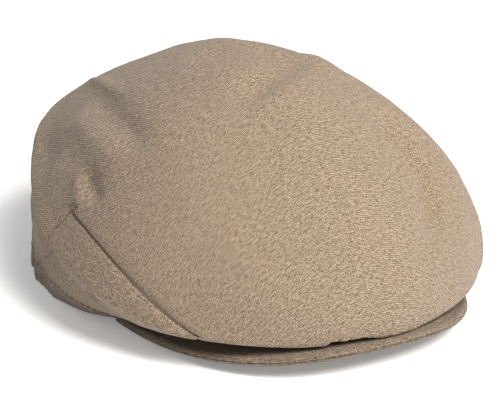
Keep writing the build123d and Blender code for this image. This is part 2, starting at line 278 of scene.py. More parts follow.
def top_grid(columns, dome, wall, under=0):
    """Turns and reaches of the top panel, from under the lip, over the dome, then down the back wall."""
    side = np.linspace(-1, 1, columns)
    side = side * (1 + EDGE_CROWDING * (1 - side**2))
    gap = SEAM_GAP / CROWN_WIDTH * 2
    seam = seam_line(np.linspace(0, 1, dome)) - np.array([gap, 0])
    start, rear = from_plan(seam[0])[0], from_plan(seam[-1])[0]
    back = math.pi - (math.pi - rear) * np.abs(side)
    back = np.where(side < 0, -back, back)
    edges = plan(side * start, 1.0), plan(back, 1.0), seam * [-1, 1], seam
    turn, reach = from_plan(coons(*edges, (side + 1) / 2))
    turn[-1] = back
    down = np.linspace(0, 1, wall)[1:, None]
    end = math.pi - (math.pi - np.radians(SEAM_HEM) - gap) * np.abs(side)
    end = np.where(side < 0, -end, end)
    # The centre back is at both plus and minus half a turn, so each side keeps its own sign
    rows_turn = [turn, back + (end - back) * down]
    rows_reach = [reach, np.broadcast_to(1 + RIM_TO_HEM * down, (wall - 1, columns))]
    if under:
        tuck = np.linspace(LIP_TURN_UNDER, 0, under, endpoint=False)[:, None]
        rows_turn.insert(0, np.broadcast_to(side * start, (under, columns)))
        rows_reach.insert(0, np.broadcast_to(1 + tuck, (under, columns)))
    return np.vstack(rows_turn), np.vstack(rows_reach)


def side_grid(columns, rows):
    """Turns and reaches of the left side panel, from the hem up to the seam."""
    along = np.linspace(0, 1, columns)
    gap = SEAM_GAP / CROWN_WIDTH * 2
    top_turn, top_reach = from_plan(seam_line(along) + np.array([gap, 0]))
    hem_turn = np.linspace(top_turn[0], np.radians(SEAM_HEM) - gap, columns)
    up = np.linspace(0, 1, rows)[:, None]
    up = up + 2 * EDGE_CROWDING * up * (1 - up)
    turn = hem_turn + (top_turn - hem_turn) * up
    reach = 1 + RIM_TO_HEM + (top_reach - 1 - RIM_TO_HEM) * up
    return turn, reach


def eased(points, rows):
    """A grid with its rows run together by a Gaussian of that many rows, so a sharp fold becomes round."""
    half = int(3 * rows) + 1
    taps = np.exp(-0.5 * (np.arange(-half, half + 1) / rows) ** 2)
    wide = np.pad(points, ((half, half), (0, 0), (0, 0)), mode="reflect", reflect_type="odd")
    windows = np.lib.stride_tricks.sliding_window_view(wide, 2 * half + 1, axis=0)
    return windows @ (taps / taps.sum())


def normals(points):
    """Unit normals of a grid, from the cross product of its two runs, all turned away from the head."""
    normal = np.cross(np.gradient(points, axis=1), np.gradient(points, axis=0))
    normal = normal / np.maximum(np.linalg.norm(normal, axis=-1, keepdims=True), 1e-9)
    return normal * np.sign(np.sum(normal * (points - HEAD_MIDDLE), axis=-1).mean())


def travelled(points, axis):
    """How far each point of a grid is along its line from the middle one, in millimetres."""
    steps = np.linalg.norm(np.diff(points, axis=axis), axis=-1)
    shape = list(steps.shape)
    shape[axis] = 1
    total = np.concatenate([np.zeros(shape), np.cumsum(steps, axis=axis)], axis=axis)
    return total - np.take(total, [total.shape[axis] // 2], axis=axis)


def bell(distance, width):
    """A Gaussian hump of height 1."""
    return np.exp(-((distance / width) ** 2))


def step(value, low, high):
    """A smooth step from 0 at one value to 1 at another."""
    t = np.clip((value - low) / (high - low), 0, 1)
    return t * t * (3 - 2 * t)


def fold(points, start, pull, end, height, left, right):
    """The height of one fold: a bell across a quadratic Bezier curve, with its own width on each side."""
    t = np.linspace(0, 1, 25)[:, None]
    line = (1 - t) ** 2 * np.array(start) + 2 * t * (1 - t) * np.array(pull) + t**2 * np.array(end)
    run = np.diff(line, axis=0)
    gap = points[..., None, :] - line[:-1]
    share = np.clip(np.sum(gap * run, axis=-1) / np.sum(run * run, axis=-1), 0, 1)
    gap = gap - share[..., None] * run
    distance = np.linalg.norm(gap, axis=-1)
    nearest = np.argmin(distance, axis=-1)[..., None]
    away = (points - HEAD_MIDDLE)[..., None, :]
    turned = np.sum(np.cross(run, gap) * away, axis=-1)
    side = np.take_along_axis(turned, nearest, axis=-1)[..., 0]
    along = (np.take_along_axis(share, nearest, axis=-1)[..., 0] + nearest[..., 0]) / len(run)
    fade = step(along, 0, 0.3) * (1 - step(along, 0.7, 1))
    return height * fade * bell(distance.min(axis=-1), np.where(side > 0, left, right))


def ripple(points, seed, size):
    """Gentle unevenness: the mean of plane waves in seeded directions, about that many millimetres long."""
    random = np.random.default_rng(seed)
    waves = random.normal(size=(3, 28))
    waves = waves / np.linalg.norm(waves, axis=0) * (2 * math.pi / (size * random.uniform(0.7, 1.6, 28)))
    return np.sin(points @ waves + random.uniform(0, 2 * math.pi, 28)).sum(axis=-1) / math.sqrt(28)


def gathers(points):
    """Puckers of the rear hem: waves of uneven pitch along the head ellipse that fade upwards."""
    turn = np.arctan2(points[..., 0], HEAD_Y - points[..., 1])
    along = turn * (HEAD_HALF_WIDTH + HEAD_HALF_LENGTH) / 2
    wave = np.sin(along / 1.3 + 2.6 * np.sin(along / 13) + 1.4 * np.sin(along / 5.1))
    long_wave = np.sin(along / 3.1 + 1.9 * np.sin(along / 17))
    back = step(np.degrees(np.abs(turn)), 80, 100)
    near = 0.6 * wave * bell(points[..., 2] - 5, 6) + long_wave * bell(points[..., 2] - 4, 17)
    return form().gather_depth / MM * back * near


def lip_pinch(points):
    """A short stretch of the lip that stands off the visor, with a small dimple where it is caught."""
    x, y, z = np.moveaxis(points, -1, 0)
    low_front = bell(z - LIP_Z, 5.5) * step(-y, 100, 112)
    lifted = step(x, -27, -23.5) * (1 - step(x, -9, -1))
    dimple = np.exp(-(((x + 8.5) / 2.2) ** 2) - ((z - LIP_Z - 2) / 5) ** 2) * step(-y, 100, 112)
    return form().lip_lift / MM * lifted * low_front, -1.1 * dimple


def folded(points):
    """The height of all the folds together, in millimetres along the cloth's normal."""
    return sum(fold(points, *one) for one in FOLDS) * form().fold_depth


def rim_fold(points, turn):
    """The pressed fold at the crown's sides: a ridge along the rim, and a hollow below it."""
    above = points[..., 2] - rim(turn, 0.0)[2]
    angle = np.degrees(np.abs(turn))
    ridge = step(angle, 66, 86) * (1 - step(angle, 140, 165)) * bell(above, np.where(above > 0, 6.5, 2.2))
    hollow = step(angle, 62, 76) * (1 - step(angle, 108, 130)) * bell(above + 7.5, 5.2)
    out = np.hypot(points[..., 0] / CROWN_WIDTH, points[..., 1] / LENGTH) * 2
    return form().rim_crease / MM * (ridge - 1.1 * hollow) * step(out, 0.7, 0.85)


def relief(points, turn):
    """Folds, gathers and unevenness of the crown's cloth, in millimetres along its normal."""
    uneven = 0.35 * ripple(points, 3, 46) + 0.12 * ripple(points, 5, 17) + 0.035 * ripple(points, 8, 6)
    return folded(points) + uneven + gathers(points) + rim_fold(points, turn)


def outer_cloth(points, turn, edge_distance):
    """A grid of the crown with its relief, and with its sewn edge rolled in where edge_distance is small."""
    lift, dimple = lip_pinch(points)
    roll = form().seam_roll / MM * (bell(edge_distance, 0.6) + 0.4 * bell(edge_distance, 2.8))
    # The short rear seam is pressed flat below the apex
    roll = roll * (1 - 0.8 * step(np.degrees(np.abs(turn)), SEAM_APEX + 0.5, SEAM_RIM))
    moved = points + normals(points) * (relief(points, turn) + dimple - roll)[..., None]
    return moved + lift[..., None] * np.array([0.0, 0.0, 1.0])


# ------------------------------------------------------------------------------------- meshes


def grid_faces(rows, columns, closed=False):
    """The quads of a grid of points, whose last column joins the first if it is closed."""
    index = np.arange(rows * columns).reshape(rows, columns)
    right = np.roll(index, -1, axis=1)
    if not closed:
        index, right = index[:, :-1], right[:, :-1]
    return np.stack([index[:-1], right[:-1], right[1:], index[1:]], axis=-1).reshape(-1, 4)


def new_mesh(name, points, quads, uv=None, caps=()):
    """A smooth-shaded mesh object at the origin, from points and a UV map in millimetres."""
    points = np.asarray(points, dtype=float).reshape(-1, 3)
    caps = [np.asarray(cap) for cap in caps]
    corners = np.concatenate([quads.ravel(), *caps]).astype(np.int32)
    sizes = np.array([4] * len(quads) + [len(cap) for cap in caps], dtype=np.int32)
    mesh = bpy.data.meshes.new(name)
    mesh.vertices.add(len(points))
    mesh.vertices.foreach_set("co", (points * MM).ravel())
    mesh.loops.add(len(corners))
    mesh.loops.foreach_set("vertex_index", corners)
    mesh.polygons.add(len(sizes))
    mesh.polygons.foreach_set("loop_start", np.concatenate([[0], np.cumsum(sizes)[:-1]]).astype(np.int32))
    if uv is not None:
        layer = mesh.uv_layers.new(name="cloth")
        layer.data.foreach_set("uv", uv.reshape(-1, 2)[corners].astype(np.float32).ravel())
    mesh.update(calc_edges=True)
    mesh.validate()
    mesh.polygons.foreach_set("use_smooth", np.ones(len(mesh.polygons), dtype=bool))
    piece = bpy.data.objects.new(name, mesh)
    bpy.context.collection.objects.link(piece)
    return piece


def finished(piece, material, nodes):
    """Gives a piece its material by name and its place on the one body, and hides the CAD nodes it stands
    for.
    """
    piece.data.materials.append(materials()[material])
    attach(piece, "root")
    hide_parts(*nodes)
    return piece


def thicken(piece, thick):
    """Gives a sheet its thickness, inwards from its faces, with its edges closed."""
    solidify = piece.modifiers.new("Cloth thickness", "SOLIDIFY")
    solidify.thickness = thick * MM
    solidify.offset = -1
    solidify.use_rim = True


def cloth_piece(name, points, thick, material, nodes=None, mirrored=False, uv=None):
    """A panel of cloth on a grid of its outer points, with a UV map of millimetres along its threads."""
    if uv is None:
        uv = np.stack([travelled(points, 1), travelled(points, 0)], axis=-1)
    if mirrored:
        points = points * [-1, 1, 1]
    outside = np.cross(np.gradient(points, axis=1), np.gradient(points, axis=0))
    if np.sum(outside * (points - HEAD_MIDDLE), axis=-1).mean() < 0:
        points, uv = points[:, ::-1], uv[:, ::-1]
    piece = new_mesh(name, points, grid_faces(*points.shape[:2]), uv)
    thicken(piece, thick)
    return finished(piece, material, nodes or [name])


def swept_piece(name, points, material, nodes=None):
    """A band, tape or folded strip: closed sections, one in each row of points, with its two ends capped."""
    rows, columns = points.shape[:2]
    quads = grid_faces(rows, columns, closed=True)
    ends = [np.arange(columns)[::-1], (rows - 1) * columns + np.arange(columns)]
    middle = points.mean(axis=1, keepdims=True)
    tangent = np.gradient(middle, axis=0)
    spin = np.cross(points - middle, np.roll(points, -1, axis=1) - middle)
    if np.sum(spin * tangent) < 0:
        quads, ends = quads[:, ::-1], [end[::-1] for end in ends]
    around = travelled(np.concatenate([points, points[:, :1]], axis=1), 1)[:, :-1]
    along = np.broadcast_to(travelled(middle, 0), (rows, columns))
    uv = np.stack([along, around], axis=-1)
    return finished(new_mesh(name, points, quads, uv, ends), material, nodes or [name])


def head_section(profile, turns, low=0.0, front_high=0.0):
    """A section of (depth, height) points carried along the head ellipse, raised at the front."""
    depth, height = np.asarray(profile, dtype=float).T
    x, y, z = hem(turns[:, None], depth[None, :], low, front_high)
    return np.stack([x, y, z + height], axis=-1)


def rounded_section(near, far, low, high, radius, points=5):
    """A rectangle of depths near to far and heights low to high, with its four corners as arcs."""
    quarter = np.linspace(0, math.pi / 2, points)
    corners = ((far, high, 0), (near, high, 1), (near, low, 2), (far, low, 3))
    section = []
    for depth, height, quarters in corners:
        angle = quarter + quarters * math.pi / 2
        inwards = np.sign([near + far - 2 * depth, low + high - 2 * height]) * radius
        centre = np.array([depth, height]) + inwards
        section.append(centre + radius * np.stack([np.cos(angle), np.sin(angle)], axis=-1))
    return np.concatenate(section)


# ------------------------------------------------------------------------------------- materials


def colour(code):
    """A hex sRGB colour as linear red, green, blue and alpha."""
    levels = np.array([int(code[k : k + 2], 16) for k in (1, 3, 5)]) / 255
    linear = np.where(levels <= 0.04045, levels / 12.92, ((levels + 0.055) / 1.055) ** 2.4)
    return (*(float(level) for level in linear), 1.0)


def add(tree, kind, inputs=None, **settings):
    """Adds a node of a kind with its settings. An input is a value, or an output socket to link from."""
    node = tree.nodes.new(kind)
    for name, value in settings.items():
        setattr(node, name, value)
    for key, value in (inputs or {}).items():
        if isinstance(value, bpy.types.NodeSocket):
            tree.links.new(value, node.inputs[key])
        else:
            node.inputs[key].default_value = value
    return node


def new_material(name):
    """An empty node material's tree."""
    material = bpy.data.materials.new(name)
    material.use_nodes = True
    material.node_tree.nodes.clear()
    return material.node_tree


def finish_material(tree, base, height, relief_depth, **surface):
    """Ends a material: bump of a depth in millimetres into a principled shader with its surface values."""
    bump = add(
        tree,
        "ShaderNodeBump",
        {"Height": height, "Strength": 1.0, "Distance": relief_depth * MM},
    )
    values = {key.replace("_", " ").title().replace("Ior", "IOR"): surface[key] for key in surface}
    shader = add(
        tree,
        "ShaderNodeBsdfPrincipled",
        {"Base Color": base, "Normal": bump.outputs[0], **values},
    )
    add(tree, "ShaderNodeOutputMaterial", {"Surface": shader.outputs[0]})


def shaded(tree, low, high, amount):
    """A colour between two, by an amount that a node gives."""
    mix = add(tree, "ShaderNodeMix", {0: amount}, data_type="RGBA")
    mix.inputs[6].default_value = low
    mix.inputs[7].default_value = high
    return mix.outputs[2]


def noise(tree, place, scale, detail=2.0, roughness=0.5, output="Fac"):
    """Fractal noise."""
    inputs = {"Vector": place, "Scale": scale, "Detail": detail, "Roughness": roughness}
    return add(tree, "ShaderNodeTexNoise", inputs).outputs[output]


def stretched(tree, place, scale, angle=0.0):
    """A place scaled in each direction and turned by an angle in degrees."""
    inputs = {"Vector": place, "Rotation": (0, 0, math.radians(angle)), "Scale": scale}
    return add(tree, "ShaderNodeMapping", inputs).outputs[0]


def vector(tree, operation, *values):
    """The result of a vector maths node."""
    return add(tree, "ShaderNodeVectorMath", dict(enumerate(values)), operation=operation).outputs[0]


def maths(tree, operation, *values):
    """The result of a maths node."""
    return add(tree, "ShaderNodeMath", dict(enumerate(values)), operation=operation).outputs[0]


def ranged(tree, value, low, high, lowest=0.0):
    """A value between two levels as a share from the lowest share to 1."""
    inputs = {"Value": value, "From Min": low, "From Max": high, "To Min": lowest}
    return add(tree, "ShaderNodeMapRange", inputs).outputs[0]


def mixed(tree, share, low, high):
    """A number between two others."""
    return add(tree, "ShaderNodeMix", {0: share, 2: low, 3: high}, data_type="FLOAT").outputs[0]


def multiplied(tree, first, second):
    """The product of two colours."""
    inputs = {0: 1.0, 6: first, 7: second}
    return add(tree, "ShaderNodeMix", inputs, data_type="RGBA", blend_type="MULTIPLY").outputs[2]


def woven(tree, spacing, slub):
    """Plain weave on the cloth's own millimetres: its place, its height and its thread tones.

    The product of the sines of the two directions changes sign from one crossing to the next, so its
    sign says whether warp or weft is on top, and its size is the rounded back of that thread.
    """
    place = add(tree, "ShaderNodeUVMap", uv_map="cloth").outputs[0]
    phase = math.pi / spacing
    scaled = vector(tree, "MULTIPLY", place, (phase, phase, 0))
    drift = noise(tree, place, 0.06, output="Color")
    bent = vector(tree, "MULTIPLY_ADD", drift, (1.6, 1.6, 0), scaled)
    parts = add(tree, "ShaderNodeSeparateXYZ", {0: vector(tree, "SINE", bent)})
    product = maths(tree, "MULTIPLY", parts.outputs[0], parts.outputs[1])
    height = maths(tree, "ABSOLUTE", product)
    weft_up = ranged(tree, product, -0.3, 0.3, 0.35)
    # Weft yarn is the more uneven of the two, so its slubs are the longer ones
    weft, warp = (
        noise(tree, stretched(tree, place, (1 / along, 1 / across, 1)), 1.0, roughness=0.6)
        for along, across in ((slub, spacing), (spacing, slub * 0.5))
    )
    fibre = noise(tree, place, 1.05 / spacing, roughness=0.7)
    return place, height, mixed(tree, 0.5, mixed(tree, weft_up, warp, weft), fibre)


def linen_material(name, spacing, light, dark, gap_shade_colour):
    """Linen, plain woven from slubby flax yarn and washed: matt, with painted shade darkening the gaps
    between its threads.
    """
    tree = new_material(name)
    place, height, tone = woven(tree, spacing, 3.6)
    contrast = ranged(tree, tone, 0.39, 0.61)
    yarn = shaded(tree, dark, light, contrast)
    # Painted shade: where the weave's height is low, in the gaps between threads, the colour darkens towards
    # the gap colour
    painted_gap_shade = shaded(tree, gap_shade_colour, (1, 1, 1, 1), ranged(tree, height, 0.0, 0.55))
    cloud = noise(tree, place, 0.035, 3.0, 0.55)
    cloudy = shaded(tree, (0.93, 0.925, 0.92, 1), (1.05, 1.05, 1.05, 1), cloud)
    base = multiplied(tree, multiplied(tree, yarn, painted_gap_shade), cloudy)
    rise = maths(tree, "MULTIPLY_ADD", contrast, 0.45, height)
    finish_material(
        tree,
        base,
        rise,
        0.16,
        roughness=0.93,
        specular_ior_level=0.18,
        sheen_weight=0.12,
        sheen_roughness=0.5,
    )


def plain_cotton(name, spacing, light, dark, relief_depth, roughness=0.9):
    """Cotton, plain woven from even yarn: matt and smoother than linen."""
    tree = new_material(name)
    _, height, tone = woven(tree, spacing, 14.0)
    base = shaded(tree, dark, light, tone)
    surface = {"roughness": roughness, "specular_ior_level": 0.25, "sheen_weight": 0.08}
    finish_material(tree, base, height, relief_depth, **surface)


def ribbed(name, light, dark, spacing, angle, relief_depth, roughness, **surface):
    """Ribs at an angle to the piece's length, as in twill and knitted elastic: light, with painted shade in
    the furrows, mixed with uneven yarn tone.
    """
    tree = new_material(name)
    place = add(tree, "ShaderNodeUVMap", uv_map="cloth").outputs[0]
    turned = stretched(tree, place, (1 / spacing, 1 / spacing, 1), angle)
    parts = add(tree, "ShaderNodeSeparateXYZ", {0: turned})
    height = ranged(tree, maths(tree, "PINGPONG", parts.outputs[0], 0.5), 0.0, 0.5)
    # Painted shade and random tone: the furrows, and the ribs where the noise is low, take the dark colour
    uneven = maths(tree, "MULTIPLY", height, noise(tree, place, 1.6))
    base = shaded(tree, dark, light, uneven)
    finish_material(tree, base, height, relief_depth, roughness=roughness, **surface)


def thread_material():
    """Polyester sewing thread, spun from two plies: slightly lustrous, with fine slanting ply marks whose
    darker grooves are painted shade.
    """
    tree = new_material("polyester_sewing_thread")
    place = add(tree, "ShaderNodeTexCoord").outputs["Object"]
    turned = stretched(tree, place, (1 / 0.0004,) * 3, 35)
    wave = {"Vector": turned, "Scale": 0.3, "Distortion": 1.0}
    ply = add(tree, "ShaderNodeTexWave", wave).outputs["Fac"]
    # Painted shade: the ply wave's grooves take the darker brown
    base = shaded(tree, colour("#261e17"), colour("#463a2f"), ply)
    finish_material(tree, base, ply, 0.04, roughness=0.62, specular_ior_level=0.4)


def board_material():
    """Polyethylene board, die cut from calendered sheet: waxy, with faint roller grain."""
    tree = new_material("polyethylene_board")
    place = add(tree, "ShaderNodeTexCoord").outputs["Object"]
    grain = noise(tree, stretched(tree, place, (120, 900, 120)), 1.0, 3.0)
    base = shaded(tree, colour("#cfcac0"), colour("#e2ded5"), grain)
    finish_material(tree, base, grain, 0.03, roughness=0.45, ior=1.51)


def materials():
    """Every finish of the cap by name, made once."""
    if "washed_linen" not in bpy.data.materials:
        spacing = cloth().thread_spacing / MM
        light, dark = (tuple(value) + (1.0,) for value in (cloth().linen_light, cloth().linen_dark))
        # The last colour of each linen is the painted shade in the gaps of its weave
        linen_material("washed_linen", spacing, light, dark, colour("#9a958f"))
        # The visor's cloth is the linen darkened to 0.62 of its colour: painted shade for the crown's shadow
        # over the visor
        light, dark = (tuple(0.62 * level for level in value[:3]) + (1.0,) for value in (light, dark))
        linen_material("visor_linen_painted_shade", spacing * 0.9, light, dark, colour("#b9b4b0"))
        plain_cotton("cotton_lining", 0.6, colour("#7b6f60"), colour("#665b4e"), 0.06)
        plain_cotton("cotton_tape", 0.8, colour("#6d6153"), colour("#574c40"), 0.08)
        # The dark colour of each ribbed finish is partly painted shade in its furrows and partly its yarn's
        # tone
        twill = (colour("#5d5145"), colour("#3c332b"))
        ribbed("cotton_twill", *twill, 1.1, 45, 0.12, 0.88, specular_ior_level=0.2, sheen_weight=0.1)
        knit = (colour("#8b8072"), colour("#5c5348"))
        ribbed("knitted_elastic", *knit, 1.0, 90, 0.2, 0.75, specular_ior_level=0.35)
        satin = (colour("#cdbfa6"), colour("#a99b83"))
        ribbed("satin_ribbon", *satin, 0.5, 0, 0.02, 0.42, specular_ior_level=0.5, sheen_weight=0.1)
        thread_material()
        board_material()
    return bpy.data.materials


# ------------------------------------------------------------------------------------- pieces


def length(name, description, default, highest):
    """A length that a user may change, with its default and its highest value in millimetres."""
    return bpy.props.FloatProperty(
        name=name,
        description=description,
        default=default * MM,
        min=0.0,
        max=highest * MM,
        precision=5,
        unit="LENGTH",
    )


def tint(name, description, code):
    """A colour that a user may change."""
    return bpy.props.FloatVectorProperty(
        name=name, description=description, default=colour(code)[:3], min=0.0, max=1.0, subtype="COLOR"
    )


class CapForm(bpy.types.PropertyGroup):
    """Sizes of the folds, seams and gathers."""

    fold_depth: bpy.props.FloatProperty(
        name="Fold depth",
        description="How deep the creases and soft valleys of the crown are, against their natural depth",
        default=1.0,
        min=0.0,
        max=2.0,
        subtype="FACTOR",
    )
    seam_roll: length("Seam roll", "How far a sewn edge turns in at the side seams", 1.7, 3)
    rim_crease: length(
        "Rim crease", "How far the pressed fold stands out where the crown turns down at the sides", 1.9, 4
    )
    gather_depth: length("Gather depth", "How deep the elastic's puckers are in the rear hem", 0.7, 3)
    lip_lift: length("Lip lift", "How far the lip stands off the visor beside its front tack", 1.7, 4)


class CapCloth(bpy.types.PropertyGroup):
    """Thread and colours of the linen."""

    thread_spacing: length(
        "Thread spacing",
        "Distance between the linen's threads, a little coarser than the real 0.6 mm so that it shows",
        0.92,
        3,
    )
    linen_light: tint("Linen, light yarn", "Colour of the paler slubs", "#b3a08a")
    linen_dark: tint("Linen, dark yarn", "Colour of the darker yarn", "#5f5347")


class CapStudio(bpy.types.PropertyGroup):
    """Camera and light."""

    azimuth: bpy.props.FloatProperty(
        name="Azimuth",
        description="Where the camera stands round the cap, from straight ahead towards the wearer's left",
        default=math.radians(-29.8),
        subtype="ANGLE",
    )
    elevation: bpy.props.FloatProperty(
        name="Elevation",
        description="How far the camera looks down",
        default=math.radians(20.85),
        subtype="ANGLE",
    )
    distance: bpy.props.FloatProperty(
        name="Distance",
        description="From the camera to the middle of the cap",
        default=1.197,
        min=0.3,
        max=5.0,
        unit="LENGTH",
    )
    lens: bpy.props.FloatProperty(
        name="Lens",
        description="Focal length in millimetres, on a 36 mm sensor",
        default=184.3,
        min=20.0,
        max=400.0,
    )
    key_power: bpy.props.FloatProperty(
        name="Key light",
        description="Power of the large soft light at the front right",
        default=53.0,
        min=0.0,
        max=500.0,
        unit="POWER",
    )
    surround: bpy.props.FloatProperty(
        name="Surround",
        description="Brightness of the white room",
        default=0.42,
        min=0.0,
        max=3.0,
    )


class CAP_OT_crown_top(bpy.types.Operator):
    """Make the one-piece top panel, from under the lip over the crown to the rear hem"""

    bl_idname = "cap.crown_top"
    bl_label = "Crown top panel"

    def execute(self, context):
        turn, reach = top_grid(151, 221, 46, under=9)
        points = eased(crown(turn, reach), FOLD_ROUNDING)
        across = travelled(points, 1)
        from_seam = np.minimum(across - across[:, :1], across[:, -1:] - across)
        points = outer_cloth(points, turn, from_seam)
        piece = cloth_piece(
            "crown_top_cloth",
            points,
            LINEN_THICK,
            "washed_linen",
            ["crown_top_panel"],
            uv=thread_plan(turn, reach),
        )
        return {"FINISHED"}


class CAP_OT_side_panels(bpy.types.Operator):
    """Make the two side panels, from the hem up to the long front seam and the short rear seam"""

    bl_idname = "cap.side_panels"
    bl_label = "Side panels"

    def execute(self, context):
        turn, reach = side_grid(151, 61)
        plain = eased(crown(turn, reach), FOLD_ROUNDING)
        for side, mirrored in (("left", False), ("right", True)):
            points = plain * [-1, 1, 1] if mirrored else plain
            up = travelled(points, 0)
            points = outer_cloth(points, turn, up[-1:] - up)
            piece = cloth_piece(
                f"side_panel_{side}_cloth",
                points,
                LINEN_THICK,
                "washed_linen",
                [f"side_panel_{side}"],
            )
        return {"FINISHED"}


class CAP_OT_lip_facing(bpy.types.Operator):
    """Make the strip that runs back under the lip to the visor seam"""

    bl_idname = "cap.lip_facing"
    bl_label = "Lip facing"

    def execute(self, context):
        start = np.radians(SEAM_START) - SEAM_GAP / CROWN_WIDTH * 2
        turns, reaches = np.meshgrid(np.linspace(-start, start, 101), np.linspace(1.05, 1 + RIM_TO_HEM, 29))
        points = crown(turns, reaches, 0.0)
        lift, _ = lip_pinch(points)
        rise = LINEN_THICK * (1 - step(reaches, 1.3, 1.5)) + lift
        points[..., 2] += rise + 0.1 * ripple(points, 11, 20)
        piece = cloth_piece(
            "lip_facing_cloth", points, LINEN_THICK, "washed_linen", ["lip_facing"]
        )
        return {"FINISHED"}


class CAP_OT_rear_casing(bpy.types.Operator):
    """Make the turned rear hem and the knitted elastic that runs in it"""

    bl_idname = "cap.rear_casing"
    bl_label = "Rear casing and elastic"

    def execute(self, context):
        turns = np.radians(np.linspace(CASING_START, 360 - CASING_START, 481))
        # A strip folded to a U: down inside the wall, round the hem, and up to its sewn edge
        bend = np.linspace(math.pi, 2 * math.pi, 9)
        bend = np.stack([np.cos(bend), np.sin(bend)], axis=-1)
        outer = [CASING_DEPTH, CASING_FOOT_Z] + CASING_OUTER * bend
        inner = [CASING_DEPTH, CASING_FOOT_Z] + CASING_INNER * bend[::-1]
        ups = np.linspace(2.5, CASING_TOP, 5)
        leg_out = np.stack([np.full(5, CASING_DEPTH + CASING_OUTER), ups], axis=-1)
        leg_in = np.stack([np.full(5, CASING_DEPTH + CASING_INNER), ups[::-1]], axis=-1)
        section = np.concatenate([outer, leg_out, leg_in, inner])
        points = head_section(section, turns, 0.0, HEM_FRONT_Z - HEM_Z)
        points = points + self.puckers(points)
        piece = swept_piece("rear_casing_cloth", points, "washed_linen", ["rear_casing"])
        turns = np.radians(np.linspace(ELASTIC_START, 360 - ELASTIC_START, 241))
        band = rounded_section(1.5, 2.3, 1.5, 9.8, 0.35)
        points = head_section(band, turns)
        points = points + 0.25 * self.puckers(points)
        piece = swept_piece("rear_elastic_band", points, "knitted_elastic", ["rear_elastic"])
        return {"FINISHED"}

    def puckers(self, points):
        """The gathers' movement, outwards from the head ellipse's middle."""
        away = (points - [0, HEAD_Y, 0]) * [1, 1, 0]
        away = away / np.linalg.norm(away, axis=-1, keepdims=True)
        return away * gathers(points)[..., None] * 0.6


class CAP_OT_visor(bpy.types.Operator):
    """Make the visor's top cover, under cover and root tape, and finish its board"""

    bl_idname = "cap.visor"
    bl_label = "Visor"

    def execute(self, context):
        # Both covers take the darkened copy of the linen, painted shade for the crown's shadow over the
        # visor
        linen = "visor_linen_painted_shade"
        top_points = self.cover(True)
        top = cloth_piece("visor_top_cloth", top_points, VISOR_COVER, linen, ["visor_top_cover"])
        under_points = self.cover(False)
        uv = np.stack([travelled(under_points, 1), travelled(under_points, 0)], axis=-1)
        under = new_mesh("visor_under_cloth", under_points, grid_faces(*under_points.shape[:2]), uv)
        thicken(under, VISOR_COVER)
        finished(under, linen, ["visor_under_cover"])
        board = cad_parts["visor_board"]
        for place in board.material_slots:
            place.material = materials()["polyethylene_board"]
        turns = np.radians(np.linspace(-VISOR_ROOT_TURN, VISOR_ROOT_TURN, 161))
        section = rounded_section(3.25, 3.75, 0.3, ROOT_TAPE_HEIGHT, 0.2)
        points = head_section(section, turns, HEM_Z, HEM_FRONT_Z)
        tape = swept_piece("visor_root_tape", points, "cotton_tape", ["visor_seam_tape"])
        return {"FINISHED"}

    def cover(self, upper):
        """One cover: from the visor's rim, round its edge as a quarter circle, then inwards to its root.

        Its height is the visor's arch, plus or minus half the thickness, less the quarter circle's fall
        near the edge, and the upper one has a furrow pressed in by the row of stitches.
        """
        half = VISOR_THICKNESS / 2
        bend = np.linspace(0, math.pi / 2, 8)
        insets = half * (1 - np.cos(bend))
        tau = np.radians(np.linspace(-VISOR_SIDE_TURN, VISOR_SIDE_TURN, 241))
        turns = np.radians(np.linspace(-VISOR_ROOT_TURN, VISOR_ROOT_TURN, 241))
        edge_rows = np.stack([np.stack(visor_edge(tau, inset), axis=-1) for inset in insets])
        root_x, root_y, _ = hem(turns, VISOR_ROOT_DEPTH)
        root = np.stack([root_x, root_y], axis=-1)
        share = (np.linspace(0, 1, 72)[1:] ** 1.25)[:, None, None]
        inner_rows = edge_rows[-1] * (1 - share) + root * share
        flat = np.concatenate([edge_rows, inner_rows])
        rise = np.concatenate([half * np.sin(bend), np.full(71, half)])[:, None]
        rise = np.maximum(rise, 0.06)
        from_edge = travelled(np.concatenate([flat, flat[..., :1] * 0], axis=-1), 0)
        from_edge = from_edge - from_edge[:1]
        x, y = flat[..., 0], flat[..., 1]
        middle = arch(x) + half
        if not upper:
            return np.stack([x, y, middle - rise], axis=-1)
        furrow = 0.5 * bell(from_edge - TOPSTITCH_INSET, 0.8)
        furrow = furrow - 0.12 * bell(from_edge - TOPSTITCH_INSET / 2, 1.6)
        points = np.stack([x, y, middle + rise - furrow], axis=-1)
        points[..., 2] += 0.08 * ripple(points, 21, 13) * step(from_edge, 1, 6)
        return points


def arch(x):
    """The height of the visor's underside: a parabola across its width."""
    return VISOR_CENTRE_Z - (VISOR_CENTRE_Z - VISOR_SIDE_Z) * (x / VISOR_HALF_WIDTH) ** 2


def visor_edge(tau, inset):
    """The visor's outer edge at an angle from its middle, moved inwards: an ellipse with fuller corners."""
    bulge = 1 + VISOR_SQUARENESS * np.sin(2 * tau) ** 2
    reach = VISOR_ROOT_Y + LENGTH / 2 - inset
    return (VISOR_HALF_WIDTH - inset) * np.sin(tau) * bulge, VISOR_ROOT_Y - reach * np.cos(tau) * bulge


